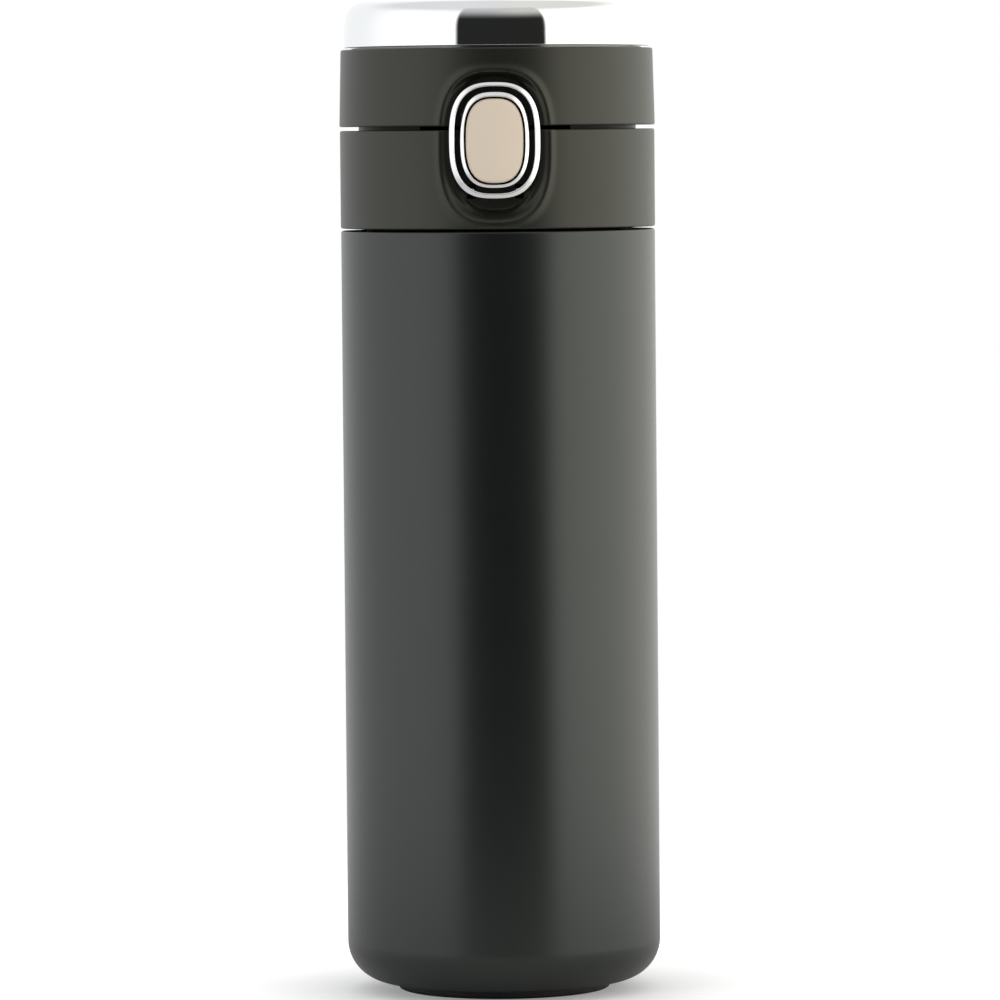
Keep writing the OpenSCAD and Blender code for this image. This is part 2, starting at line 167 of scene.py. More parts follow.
def arc(cx, cz, r, a0, a1, steps):
    """Points on an arc between two angles in degrees."""
    angles = [math.radians(a0 + (a1 - a0) * i / steps) for i in range(steps + 1)]
    return [(cx + r * math.cos(a), cz + r * math.sin(a)) for a in angles]


def rounded(points, radius=0.3, steps=4, closed=True, hold=0.12):
    """A polygon with every corner filleted. A point may carry its own radius as a third number.
    Each straight side gets a point close to its ends, so that smooth shading stays on the fillets."""
    out = []
    count = len(points)
    for i, point in enumerate(points):
        here = Vector(point[:2])
        want = point[2] if len(point) > 2 else radius
        if (not closed and i in (0, count - 1)) or want <= 0:
            out.append(tuple(here))
            continue
        before = Vector(points[i - 1][:2]) - here
        after = Vector(points[(i + 1) % count][:2]) - here
        turn = before.angle(after, math.pi)
        if turn > math.radians(176) or before.length < 1e-6 or after.length < 1e-6:
            out.append(tuple(here))
            continue
        cut = min(want / math.tan(turn / 2), 0.45 * before.length, 0.45 * after.length)
        start, end = here + before.normalized() * cut, here + after.normalized() * cut
        if before.length > 2.2 * cut + 4 * hold:
            out.append(tuple(start + before.normalized() * hold))
        for k in range(steps + 1):
            t = k / steps
            out.append(tuple((1 - t) ** 2 * start + 2 * t * (1 - t) * here + t * t * end))
        if after.length > 2.2 * cut + 4 * hold:
            out.append(tuple(end + after.normalized() * hold))
    return out


def ring_faces(low, high):
    """Faces between two rings of vertices. Where a ring is one point on the axis, they are triangles."""
    faces = []
    for k in range(len(low)):
        n = (k + 1) % len(low)
        face = [low[k], low[n], high[n], high[k]]
        face = [v for j, v in enumerate(face) if v != face[j - 1]]
        if len(face) > 2:
            faces.append(face)
    return faces


def skin_faces(columns, count):
    """Faces between columns of points that stand round the flask, where each column is a closed loop."""
    faces = []
    for k in range(columns):
        n = (k + 1) % columns
        for i in range(count):
            j = (i + 1) % count
            faces.append([k * count + i, n * count + i, n * count + j, k * count + j])
    return faces


def lathe(name, outline, material, segments=256, closed=True):
    """Turns an outline of (radius, height) round Z. One that isn't closed begins and ends on the axis."""
    turns = [2 * math.pi * k / segments for k in range(segments)]
    verts, rows = [], []
    for r, z in outline:
        if r < 1e-6:
            rows.append([len(verts)] * segments)
            verts.append((0, 0, z))
            continue
        rows.append(list(range(len(verts), len(verts) + segments)))
        verts += [(r * math.cos(a), r * math.sin(a), z) for a in turns]
    faces = []
    for i in range(len(rows) if closed else len(rows) - 1):
        faces += ring_faces(rows[i], rows[(i + 1) % len(rows)])
    obj = make_object(name, verts, faces, material)
    recalculate(obj)
    return obj


def extrude_x(name, outline, x0, x1, material, bevel):
    """A (y, z) outline drawn out along X, with its edges bevelled."""
    count = len(outline)
    verts = [(x, y, z) for x in (x0, x1) for y, z in outline]
    faces = [list(range(count))[::-1], list(range(count, 2 * count))]
    faces += [[i, (i + 1) % count, count + (i + 1) % count, count + i] for i in range(count)]
    obj = make_object(name, verts, faces, material)
    recalculate(obj)
    soften(obj, bevel)
    return obj


def soften(obj, width, segments=3, angle=35):
    """Rounds the edges that turn by more than an angle in degrees."""
    bevel = obj.modifiers.new("bevel", "BEVEL")
    bevel.width = width * 0.001
    bevel.segments = segments
    bevel.limit_method = "ANGLE"
    bevel.angle_limit = math.radians(angle)
    bevel.harden_normals = False
    normals = obj.modifiers.new("normals", "WEIGHTED_NORMAL")
    normals.keep_sharp = False
    normals.weight = 80
    apply_modifiers(obj)


def apply_modifiers(obj):
    """Puts the result of an object's modifiers into its mesh."""
    graph = bpy.context.evaluated_depsgraph_get()
    mesh = bpy.data.meshes.new_from_object(obj.evaluated_get(graph))
    old = obj.data
    obj.modifiers.clear()
    obj.data = mesh
    mesh.name = old.name
    bpy.data.meshes.remove(old)


def join(name, objects):
    """Several meshes as the one object of that name."""
    with bpy.context.temp_override(active_object=objects[0], selected_editable_objects=objects):
        bpy.ops.object.join()
    objects[0].name = name
    objects[0].data.name = name
    return objects[0]


def box_mesh(name, low, high, material, bevel):
    """A block between two corners, with bevelled edges."""
    outline = [(low[1], low[2]), (high[1], low[2]), (high[1], high[2]), (low[1], high[2])]
    return extrude_x(name, outline, low[0], high[0], material, bevel)


def cut_away(obj, cutters):
    """Subtracts closed meshes, which are then deleted."""
    for cutter in cutters:
        tool = obj.modifiers.new("cut", "BOOLEAN")
        tool.operation = "DIFFERENCE"
        tool.solver = "EXACT"
        tool.object = cutter
        apply_modifiers(obj)
        bpy.data.objects.remove(cutter)


def tube(name, path, radius, material, sides):
    """A round wire along a path of points, with flat ends."""
    verts, faces = [], []
    last = len(path) - 1
    normal = None
    for i, point in enumerate(path):
        here = Vector(point)
        ahead = Vector(path[min(i + 1, last)])
        behind = Vector(path[max(i - 1, 0)])
        along = (ahead - behind).normalized()
        if normal is None:
            normal = along.orthogonal().normalized()
        normal = (normal - along * normal.dot(along)).normalized()
        side = along.cross(normal)
        for k in range(sides):
            a = 2 * math.pi * k / sides
            verts.append(here + radius * (math.cos(a) * normal + math.sin(a) * side))
    for i in range(last):
        for k in range(sides):
            a, b = i * sides + k, i * sides + (k + 1) % sides
            faces.append([a, b, b + sides, a + sides])
    faces += [list(range(sides))[::-1], list(range(last * sides, (last + 1) * sides))]
    obj = make_object(name, verts, faces, material)
    recalculate(obj)
    return obj


def oval_norm(x, z, half):
    """1 on an oval of these half sizes, less inside it and more outside."""
    return (abs(x / half[0]) ** OVAL + abs(z / half[1]) ** OVAL) ** (1 / OVAL)


def oval_point(half, a):
    """The point of an oval in direction a."""
    dx, dz = math.cos(a), math.sin(a)
    reach = 1 / oval_norm(dx, dz, half)
    return dx * reach, dz * reach


def oval_band(name, outer, inner, face_r, front, back_y, material, steps=192):
    """A band between two ovals on the flask's front, with a flat back. Each oval is (half sizes, height).
    front is a list of (across, drop): how far from the outer oval (0) to the inner one (1), and how far
    behind the radius face_r, in parts of the band's width at that place."""
    verts, faces = [], []
    count = len(front) + 2
    for i in range(steps):
        angle = 2 * math.pi * i / steps
        x0, z0 = oval_point(outer[0], angle)
        x1, z1 = oval_point(inner[0], angle)
        z0, z1 = z0 + outer[1], z1 + inner[1]
        width = math.hypot(x1 - x0, z1 - z0)
        verts.append((x0, back_y, z0))
        for across, drop in front:
            x = x0 + (x1 - x0) * across
            radius = face_r - drop * width
            verts.append((x, -math.sqrt(radius ** 2 - x ** 2), z0 + (z1 - z0) * across))
        verts.append((x1, back_y, z1))
    for i in range(steps):
        for k in range(count):
            a, b = i * count + k, i * count + (k + 1) % count
            n = (i + 1) % steps * count
            faces.append([a, b, n + (k + 1) % count, n + k])
    obj = make_object(name, verts, faces, material)
    recalculate(obj)
    return obj


def oval_plate(name, half, face_r, back_y, material, z=None, edge=0.5, crown=0.15, rings=14, steps=128):
    """An oval plate with a softly crowned, rounded face and a flat back."""
    z = button_z if z is None else z
    verts, faces = [(0, -face_r, z)], []
    levels = [1 - (1 - i / rings) ** 1.6 for i in range(1, rings + 1)]
    smallest = min(half)
    for t in levels:
        for i in range(steps):
            x, dz = oval_point(half, 2 * math.pi * i / steps)
            inset = (1 - t) * smallest
            drop = crown * t * t
            if inset < edge:
                drop += edge - math.sqrt(max(edge ** 2 - (edge - inset) ** 2, 0))
            px = x * t
            verts.append((px, -math.sqrt(face_r ** 2 - px ** 2) + drop, z + dz * t))
    for i in range(steps):
        x, dz = oval_point(half, 2 * math.pi * i / steps)
        verts.append((x, back_y, z + dz))
    verts.append((0, back_y, z))
    rows = len(levels) + 1
    for i in range(steps):
        n = (i + 1) % steps
        faces.append([0, 1 + i, 1 + n])
        for k in range(rows - 1):
            near, far = 1 + k * steps, 1 + (k + 1) * steps
            faces.append([near + i, far + i, far + n, near + n])
        last = 1 + (rows - 1) * steps
        faces.append([last + i, len(verts) - 1, last + n])
    obj = make_object(name, verts, faces, material)
    recalculate(obj)
    return obj


# ---------------------------------------------------------------- materials


def nodes_of(name):
    """A new material, its node tree and its shader."""
    material = bpy.data.materials.new(name)
    material.use_nodes = True
    tree = material.node_tree
    return material, tree, tree.nodes["Principled BSDF"]


def noise_field(tree, scale, detail, roughness=0.55):
    """Noise over an object's own coordinates."""
    coords = tree.nodes.new("ShaderNodeTexCoord")
    field = tree.nodes.new("ShaderNodeTexNoise")
    field.inputs["Scale"].default_value = scale
    field.inputs["Detail"].default_value = detail
    field.inputs["Roughness"].default_value = roughness
    tree.links.new(coords.outputs["Object"], field.inputs["Vector"])
    return field.outputs["Fac"]


def ranged(tree, value, low, high, start=0.3, end=0.7):
    """Takes a value from between start and end to between low and high."""
    node = tree.nodes.new("ShaderNodeMapRange")
    node.inputs["From Min"].default_value = start
    node.inputs["From Max"].default_value = end
    node.inputs["To Min"].default_value = low
    node.inputs["To Max"].default_value = high
    tree.links.new(value, node.inputs["Value"])
    return node.outputs["Result"]


def mixed_colour(tree, value, first, second):
    """The first colour where the value is 0, the second where it is 1."""
    node = tree.nodes.new("ShaderNodeMix")
    node.data_type = "RGBA"
    tree.links.new(value, node.inputs[0])
    node.inputs[6].default_value = (*first, 1)
    node.inputs[7].default_value = (*second, 1)
    return node.outputs[2]


def bumped(tree, shader, height, distance):
    """A bump on a shader, as high as distance in metres."""
    node = tree.nodes.new("ShaderNodeBump")
    node.inputs["Distance"].default_value = distance
    node.inputs["Strength"].default_value = 1.0
    tree.links.new(height, node.inputs["Height"])
    tree.links.new(node.outputs["Normal"], shader.inputs["Normal"])


def grained(name, dark, light, rough, grain, bump, metallic=0.0, patch=60.0, specular=0.5, tint=(1, 1, 1)):
    """Two close colours in soft patches, roughness that varies with them, and a fine grain as bump.
    rough is (low, high), grain the noise scale, and bump its height in metres."""
    material, tree, shader = nodes_of(name)
    patches = noise_field(tree, patch, 4.0)
    spread = ranged(tree, patches, 0, 1)
    tree.links.new(mixed_colour(tree, spread, dark, light), shader.inputs["Base Color"])
    fine = noise_field(tree, grain, 2.0)
    tree.links.new(ranged(tree, fine, rough[0], rough[1]), shader.inputs["Roughness"])
    bumped(tree, shader, fine, bump)
    shader.inputs["Metallic"].default_value = metallic
    shader.inputs["Specular IOR Level"].default_value = specular
    shader.inputs["Specular Tint"].default_value = (*tint, 1)
    return material


def grey(value):
    return value, value, value


body_paint = grained(
    "body_paint", (0.0040, 0.0062, 0.0056), (0.0055, 0.0080, 0.0072), (0.30, 0.36), 2600, 3e-6,
    specular=0.68, tint=(0.97, 1.0, 0.96))
cover_plastic = grained(
    "cover_plastic", (0.0080, 0.0080, 0.0062), (0.0105, 0.0105, 0.0084), (0.36, 0.44), 4200, 7e-6,
    specular=0.55, tint=(1.0, 1.0, 0.86))
core_plastic = grained(
    "core_plastic", (0.0040, 0.0040, 0.0042), (0.0062, 0.0062, 0.0064), (0.30, 0.40), 3000, 4e-6,
    specular=0.18)
chrome = grained(
    "chrome", (0.86, 0.865, 0.87), (0.90, 0.905, 0.91), (0.03, 0.055), 500, 2e-7, metallic=1.0, patch=30)
pad_beige = grained(
    "pad_beige", (0.950, 0.805, 0.652), (0.980, 0.835, 0.675), (0.46, 0.56), 5200, 7e-6, specular=0.6)
silicone = grained(
    "silicone", (0.62, 0.61, 0.57), (0.68, 0.67, 0.63), (0.40, 0.52), 1800, 4e-6, specular=0.4)
foot_rubber = grained("foot_rubber", grey(0.018), grey(0.028), (0.55, 0.72), 2400, 1.2e-5)
spring_steel = grained("spring_steel", grey(0.50), grey(0.62), (0.18, 0.32), 3000, 2e-6, metallic=1.0)
seal_metal = grained("seal_metal", grey(0.36), grey(0.45), (0.35, 0.50), 1500, 4e-6, metallic=1.0)
foil_metal = grained(
    "foil_metal", (0.72, 0.72, 0.73), (0.85, 0.85, 0.86), (0.12, 0.30), 700, 3e-5, metallic=1.0)


def brushed_steel():
    """Steel with fine turning marks that run round the flask."""
    material, tree, shader = nodes_of("liner_steel")
    coords = tree.nodes.new("ShaderNodeTexCoord")
    stretch = tree.nodes.new("ShaderNodeMapping")
    stretch.inputs["Scale"].default_value = (30, 30, 5200)
    marks = tree.nodes.new("ShaderNodeTexNoise")
    marks.inputs["Scale"].default_value = 1.0
    marks.inputs["Detail"].default_value = 4.0
    tree.links.new(coords.outputs["Object"], stretch.inputs["Vector"])
    tree.links.new(stretch.outputs["Vector"], marks.inputs["Vector"])
    tree.links.new(ranged(tree, marks.outputs["Fac"], 0.22, 0.36), shader.inputs["Roughness"])
    tree.links.new(mixed_colour(tree, marks.outputs["Fac"], (0.56, 0.56, 0.56), (0.66, 0.66, 0.655)),
                   shader.inputs["Base Color"])
    bumped(tree, shader, marks.outputs["Fac"], 4e-6)
    shader.inputs["Metallic"].default_value = 1.0
    return material


liner_steel = brushed_steel()


def finish_piece(obj, body, replaced):
    """Says what body a piece rides on and the CAD node that it stands for."""
    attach(obj, body)
    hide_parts(replaced)


# ---------------------------------------------------------------- bottle


def make_shell():
    """The painted wall, from the weld to the shoulder's edge, with its inner face."""
    outline = rounded([
        (body_r, weld_z, 0), (body_r, shoulder_z, 0.6), (neck_root_r, shoulder_z - 0.05, 0.4),
        (neck_root_r, shoulder_z - STEEL, 0.2), (body_r - STEEL, shoulder_z - STEEL, 0.8),
        (body_r - STEEL, weld_z, 0)], steps=8)
    wall = lathe("shell_wall", outline, body_paint, segments=320)
    finish_piece(wall, "bottle", "outer_shell")


THREAD_PITCH = 4.0
THREAD_DEPTH = 1.1
THREAD_TURNS = 1.25
THREAD_START = 5.3      # height of its middle over the shoulder where it begins
THREAD_FADE = 0.1       # part of a turn over which it rises and dies away
THREAD_FOOT = 1.1       # half its width at the neck
THREAD_FLANK = 0.55     # height of each flank


def thread_lift(angle, z):
    """How far the thread stands out from the neck at one place."""
    lift = 0.0
    for turn in (0, 1):
        along = angle / (2 * math.pi) + turn
        if along <= THREAD_TURNS:
            away = abs(z - (shoulder_z + THREAD_START) - THREAD_PITCH * along)
            fade = min(1, along / THREAD_FADE, (THREAD_TURNS - along) / THREAD_FADE)
            flank = max(0, min(1, (THREAD_FOOT - away) / THREAD_FLANK))
            lift = max(lift, THREAD_DEPTH * fade * flank)
    return lift


def on_neck(r):
    return abs(r - neck_r) < 0.01


def make_neck():
    """The bare steel neck with its rolled lip and thread, as one skin turned through every angle."""
    inner_r = neck_r - STEEL
    under_lip = neck_top - STEEL
    profile = rounded([
        (neck_root_r + 0.1, shoulder_z - 0.05, 0), (neck_r + 1.2, shoulder_z + 0.4, 1.2),
        (neck_r, shoulder_z + 2.4, 1.0), (neck_r, neck_top, 1.1),
        (neck_lip_r, neck_top, 0), (neck_lip_r, under_lip, 0),
        (inner_r, under_lip, 0.6), (inner_r, shoulder_z + 2.0, 1.0),
        (neck_r + 0.8, shoulder_z - STEEL, 1.2), (neck_root_r + 0.1, shoulder_z - STEEL, 0)], steps=5)
    threaded = []
    for i, point in enumerate(profile):
        threaded.append(point)
        after = profile[(i + 1) % len(profile)]
        if on_neck(point[0]) and on_neck(after[0]):
            steps = max(1, round(abs(after[1] - point[1]) / 0.2))
            threaded += [(neck_r, point[1] + (after[1] - point[1]) * k / steps) for k in range(1, steps)]
    segments = 240
    verts = []
    for angle in (2 * math.pi * k / segments for k in range(segments)):
        for r, z in threaded:
            r += thread_lift(angle, z) if on_neck(r) else 0.0
            verts.append((r * math.cos(angle), r * math.sin(angle), z))
    neck = make_object("threaded_neck", verts, skin_faces(segments, len(threaded)), liner_steel)
    recalculate(neck)
    finish_piece(neck, "bottle", "outer_shell")


def make_bottom():
    """The painted bottom, welded to the wall, with its large round corner."""
    corner = weld_z - base_z
    outline = [(0, base_z), (foot_r - 2, base_z), (body_r - corner - 0.2, base_z)]
    outline += arc(body_r - corner, weld_z, corner, -90, 0, 28)
    outline += arc(body_r - corner, weld_z, corner - STEEL, 0, -90, 20)
    outline += [(0, base_z + STEEL)]
    bottom = lathe("bottom_cap", outline, body_paint, segments=320, closed=False)
    finish_piece(bottom, "bottle", "outer_bottom")


def make_foot():
    """Soft disc with a raised rim round a dished middle and two fine rings."""
    outline = rounded([
        (0, 0, 0), (13.2, 0, 0.1), (13.5, 0.25, 0.1), (13.9, 0, 0.1), (foot_r - 7, 0, 0.15),
        (foot_r - 6.6, 0.5, 0.15), (foot_r - 5.4, 0.5, 0.15), (foot_r - 5, 0, 0.15),
        (foot_r, 0, 0.8), (foot_r, base_z, 0.1), (0, base_z, 0)], closed=False)
    foot = lathe("foot_pad_soft", outline, foot_rubber, segments=192, closed=False)
    finish_piece(foot, "bottle", "foot_pad")


# ---------------------------------------------------------------- covers with the recess


def recess_weight(x, z, grow):
    """1 on the recess's floor, 0 outside its rim, and a soft slope between."""
    floor = oval_norm(x, z - recess_floor["z"], [h + grow for h in recess_floor["half"]])
    rim = oval_norm(x, z - recess_rim["z"], [h + grow for h in recess_rim["half"]])
    if floor <= 1:
        return 1.0
    if rim >= 1:
        return 0.0
    t = (1 - rim) / ((1 - rim) + (floor - 1))
    return t * t * (3 - 2 * t)


WELL_EDGE = (0.95, 1.03)    # where the well's floor ends and the ledge begins, in parts of the well's size
LIP_SCALE = 15.0            # turns a part of the rim's size into millimetres
LIP_OUT = 0.3
LIP_SPREAD = 0.9
RECESS_ANGLE = math.radians(35)


def soft_step(value, start, end):
    """0 up to start and 1 from end on, with a soft slope between."""
    t = max(0.0, min(1.0, (value - start) / (end - start)))
    return t * t * (3 - 2 * t)


def recess_depth(x, z, r, a, grow):
    """How far a cover is pressed in: down to a flat floor, with a shallower ledge at each side of the ring
    and a soft lip round the edge."""
    well = 1 - soft_step(oval_norm(x, z - recess_well["z"], recess_well["half"]), *WELL_EDGE)
    flat_y = ledge_y + (floor_y - ledge_y) * well
    flat_r = -(flat_y + grow) / math.cos(a)
    depth = max(0.0, r - flat_r) * recess_weight(x, z, grow)
    if grow:
        return depth
    away = (oval_norm(x, z - recess_rim["z"], recess_rim["half"]) - 1) * LIP_SCALE - LIP_OUT
    return depth - LIP * math.exp(-(away / LIP_SPREAD) ** 2)


def front_angles():
    """Angles from the front, close together across the recess and wide apart elsewhere."""
    fine, coarse, edge = 0.36, 2.0, 27.0
    angles = []
    a = -180.0
    while a < 180 - 1e-6:
        angles.append(a)
        a += fine if -edge <= a < edge else coarse
    return [math.radians(a) for a in angles]


def cover(name, outer, inner, material):
    """A cover turned round Z, pressed in at the front where the recess is.
    outer and inner are (radius, height) outlines, one going up the outside and one coming down the inside."""
    angles = front_angles()
    rows = [(r, z, 0.0) for r, z in outer] + [(r, z, WALL) for r, z in inner]
    verts = []
    for a in angles:
        for r, z, grow in rows:
            r_here = r
            if abs(a) < RECESS_ANGLE and r > inner_wall_r - 0.5:
                r_here -= recess_depth(r * math.sin(a), z, r, a, grow)
            verts.append((r_here * math.sin(a), -r_here * math.cos(a), z))
    obj = make_object(name, verts, skin_faces(len(angles), len(rows)), material)
    recalculate(obj)
    return obj


def upward(points, step=0.25):
    """Adds points so that no stretch is longer than step."""
    out = [points[0]]
    for a, b in zip(points, points[1:]):
        steps = max(1, math.ceil(math.dist(a, b) / step))
        out += [tuple(p + (q - p) * k / steps for p, q in zip(a, b)) for k in range(1, steps + 1)]
    return out


KNUCKLE_R = 2.55
COLLAR_KNUCKLE_X = (7.2, 10.8)
LID_KNUCKLE_X = (3.3, 6.9)
COVER_EDGE = 0.4            # radius of the covers' outer edges
NOTCH_HALF = 5.5            # the collar's opening for the button's stem
SLOT_X = (4.2, 6.2)         # the collar's slots for the lock ring's ears
CUT = 0.001                 # bevel of a cutter, so small that it leaves a sharp edge


def knuckle(x_range, rising):
    """Part of the hinge: a rounded barrel whose web runs up to the lid when rising, or down to the collar."""
    r, wall_y, back_y = KNUCKLE_R, collar_r - 1.1, hinge_y - KNUCKLE_R
    if rising:
        near, far = hinge_z + 0.5, hinge_z + 5.2
        barrel = arc(hinge_y, hinge_z, r, 62, -180, 26)
    else:
        near, far = hinge_z - 0.5, hinge_z - 6.0
        barrel = arc(hinge_y, hinge_z, r, -62, 180, 26)
    outline = barrel + [(back_y, near), (wall_y, near), (wall_y, far)]
    return extrude_x("lug", outline, *x_range, cover_plastic, bevel=0.3)


def both_sides(x0, x1):
    """The same stretch of X on the left and on the right."""
    return [(-x1, -x0), (x0, x1)]


def make_collar():
    """The moulded collar, with its opening for the button, slots for the lock ring, and hinge knuckles."""
    edge = COVER_EDGE
    outer = arc(collar_r - edge, collar_z + edge, edge, -90, 0, 5)
    outer = [(inner_wall_r + 0.3, collar_z)] + upward(outer + [(collar_r, collar_top - edge)])
    outer += arc(collar_r - edge, collar_top - edge, edge, 0, 90, 5)[1:]
    inner = [(inner_wall_r + 0.2, collar_top), (inner_wall_r, collar_top - 0.2),
             (inner_wall_r, collar_z + 0.3)]
    shell = cover("collar_cover", outer, upward(inner, 1.0), cover_plastic)
    low, high = (-NOTCH_HALF, -40, neck_top + 1.1), (NOTCH_HALF, -20, collar_top + 18)
    cutters = [box_mesh("notch", low, high, cover_plastic, CUT)]
    for x0, x1 in both_sides(*SLOT_X):
        low, high = (x0, -36, lock_z - 1.7), (x1, -27, lock_z + 1.4)
        cutters.append(box_mesh("slot", low, high, cover_plastic, CUT))
    cut_away(shell, cutters)
    finish_piece(shell, "collar", "collar_shell")
    lugs = [knuckle(x_range, False) for x_range in both_sides(*COLLAR_KNUCKLE_X)]
    finish_piece(join("collar_knuckles", lugs), "collar", "collar_shell")


def make_lid():
    """The lid's moulded band, open at the top under the cap, with its hinge knuckles and lock lug."""
    edge, bore_r, plate_z = COVER_EDGE, 29, lid_top - WALL
    outer = arc(lid_bottom_r - edge, lid_z + edge, edge, -90, 0, 5)
    outer = [(inner_wall_r + 0.3, lid_z)] + upward(outer + [(lid_top_r, lid_top - edge)])
    outer += arc(lid_top_r - edge, lid_top - edge, edge, 0, 90, 8)[1:]
    outer += [(lid_top_r - 1.0, lid_top), (bore_r + 0.3, lid_top)]
    inner = [(bore_r, lid_top - 0.3), (bore_r, plate_z + 0.2), (bore_r + 0.2, plate_z),
             (inner_wall_r - 0.8, plate_z)]
    inner += upward([(inner_wall_r, plate_z - 0.2), (inner_wall_r, lid_z + 0.3)], 0.6)
    shell = cover("lid_cover", outer, inner, cover_plastic)
    finish_piece(shell, "lid", "lid_shell")
    lugs = [knuckle(x_range, True) for x_range in both_sides(*LID_KNUCKLE_X)]
    heel_y = span("lid_shell")[1][1]
    for x0, x1 in both_sides(*LID_KNUCKLE_X):
        low, high = (x0, hinge_y, hinge_z - 0.5), (x1, heel_y, hinge_z + 0.9)
        lugs.append(box_mesh("heel", low, high, cover_plastic, 0.2))
    finish_piece(join("lid_knuckles", lugs), "lid", "lid_shell")
    low, high = (-2.9, floor_y - 0.85, button_z + 11.75), (2.9, floor_y + 0.4, button_z + 12.4)
    lug = box_mesh("lock_lug", low, high, cover_plastic, 0.15)
    finish_piece(lug, "lid", "lid_shell")


CAP_DOME = 0.9              # how far the cap's top rises from its shoulder to its middle
CAP_GROOVE = 0.4            # groove between the lid's band and the cap's foot
CAP_FOOT_H = 3.2            # height of the cap's upright foot
CAP_LEAN = 24               # degrees that the side leans in before it turns over the shoulder
CAP_SHOULDER = 2.9          # radius of that shoulder
CAP_INNER_R = 32.4
CAP_SPIGOT_R = 31.3         # of the ring that stands in the lid's groove


def make_cap():
    """The bright cap: a drawn shell with a steep side, a tight shoulder and a gently domed top."""
    foot = lid_top + CAP_GROOVE
    side_r, edge_z = cap_r - 0.1, cap_top - CAP_DOME
    outline = rounded([(cap_r - 1.3, foot, 0), (cap_r, foot, 0.35), (side_r, foot + CAP_FOOT_H, 0)],
                      closed=False, steps=6)
    outline += cap_side(side_r, foot + CAP_FOOT_H, edge_z)
    dome_r = outline[-1][0]
    inward = [1 - k / 12 for k in range(1, 13)]
    outline += [(dome_r * t, edge_z + CAP_DOME * (1 - t ** 2)) for t in inward]
    under = cap_top - 1.1
    outline += [(0, under), (dome_r * 0.5, under - 0.25), (dome_r, cap_top - 2.2)]
    outline += arc(dome_r, cap_top - 4.2, 2.2, 70, 6, 8)
    outline += [(CAP_INNER_R, foot + 1.4), (CAP_SPIGOT_R, foot + 1.4), (CAP_SPIGOT_R, lid_top),
                (CAP_INNER_R + 0.1, lid_top), (CAP_INNER_R + 0.2, foot + 0.3)]
    cap = lathe("cap_dome", outline, chrome, segments=320)
    finish_piece(cap, "lid", "chrome_cap")


def cap_side(r, start_z, top):
    """The cap's side, which leans in more and more as it rises and then turns over a tight shoulder."""
    points, step = [], 0.08
    z, lean = start_z, math.radians(2)
    turn_z = top - CAP_SHOULDER * 0.80
    while lean < math.radians(87):
        if z < turn_z:
            lean = math.radians(2 + CAP_LEAN * ((z - start_z) / (turn_z - start_z)) ** 1.8)
        else:
            lean += step / CAP_SHOULDER
        r -= step * math.sin(lean)
        z += step * math.cos(lean)
        points.append((r, z))
    shift = top - z
    count = len(points)
    return [(px, pz + shift * (i + 1) / count) for i, (px, pz) in enumerate(points)][::2] + [(r, top)]


# ---------------------------------------------------------------- button and lock ring


EAR_X = (4.6, 5.8)
TRUNNION_X = (5.7, 7.35)
TRUNNION_R = 0.48


def make_lock_ring():
    """The oval ring round the button, with two ears behind it that turn on trunnions in the collar."""
    face = rounded([(0, 1.4, 0), (0, 0.54, 0.09), (0.80, 0, 0.22), (1, 0.22, 0)], steps=5, closed=False)
    parts = [oval_band("lock_band", (lock_half, ring_z), (lock_open_half, button_z), lock_face_r, face[1:],
                       lock_back_y, chrome)]
    root_y = lock_back_y - 0.25
    ear = [(root_y, -0.5), (lock_y, -0.6), (lock_y + 0.5, -0.4), (lock_y + 0.7, 0), (lock_y + 0.5, 0.4),
           (lock_y, 0.6), (root_y, 0.5)]
    ear = [(y, lock_z + z) for y, z in ear]
    trunnion = arc(lock_y, lock_z, TRUNNION_R, 0, 345, 23)
    for ear_x, trunnion_x in zip(both_sides(*EAR_X), both_sides(*TRUNNION_X)):
        parts.append(extrude_x("ear", ear, *ear_x, chrome, 0.12))
        parts.append(extrude_x("trunnion", trunnion, *trunnion_x, chrome, 0.08))
    finish_piece(join("lock_loop", parts), "lock", "lock_ring")


def make_button():
    """The button's bright rim and its pad."""
    face = rounded([(0, 1.2, 0), (0, 0.5, 0.14), (0.88, 0, 0.14), (1, 0.14, 0)], steps=5, closed=False)
    pad_room = [h - TRIM_BAND for h in button_half]
    trim = oval_band("button_rim", (button_half, button_z), (pad_room, pad_z), trim_face_r, face[1:],
                     plate_y, chrome)
    finish_piece(trim, "button", "button_trim")
    pad = oval_plate("button_face", pad_half, trim_face_r - 0.1, plate_y, pad_beige, z=pad_z, edge=0.45)
    finish_piece(pad, "button", "button_pad")


STEM_HALF = 5.0
HOOK_HALF = 3.6
ARM_Y = -28.6
HOOK_Y = -29.3


def make_carrier():
    """The part behind the pad: a plate, a stem through the collar's wall, and an arm up to the hook."""
    _, (_, rear_y, top) = span("button_body")
    stem_z = neck_top + 1.5
    plate = oval_plate("plate", [h - 0.1 for h in button_half], -plate_y + 0.1, plate_y + 0.55, core_plastic,
                       edge=0.1, crown=0)
    stem = box_mesh("stem", (-STEM_HALF, plate_y + 0.4, stem_z), (STEM_HALF, rear_y, stem_z + 2.5),
                    core_plastic, 0.25)
    arm = box_mesh("arm", (-STEM_HALF, ARM_Y, stem_z), (STEM_HALF, rear_y, top), core_plastic, 0.25)
    outline = [(ARM_Y + 0.2, top - 1.6), (HOOK_Y, top - 1.6), (HOOK_Y, top - 1.1), (ARM_Y + 0.2, top)]
    hook = extrude_x("hook", outline, -HOOK_HALF, HOOK_HALF, core_plastic, 0.1)
    carrier = join("button_carrier", [plate, stem, arm, hook])
    finish_piece(carrier, "button", "button_body")


# ---------------------------------------------------------------- springs, spout and gaskets


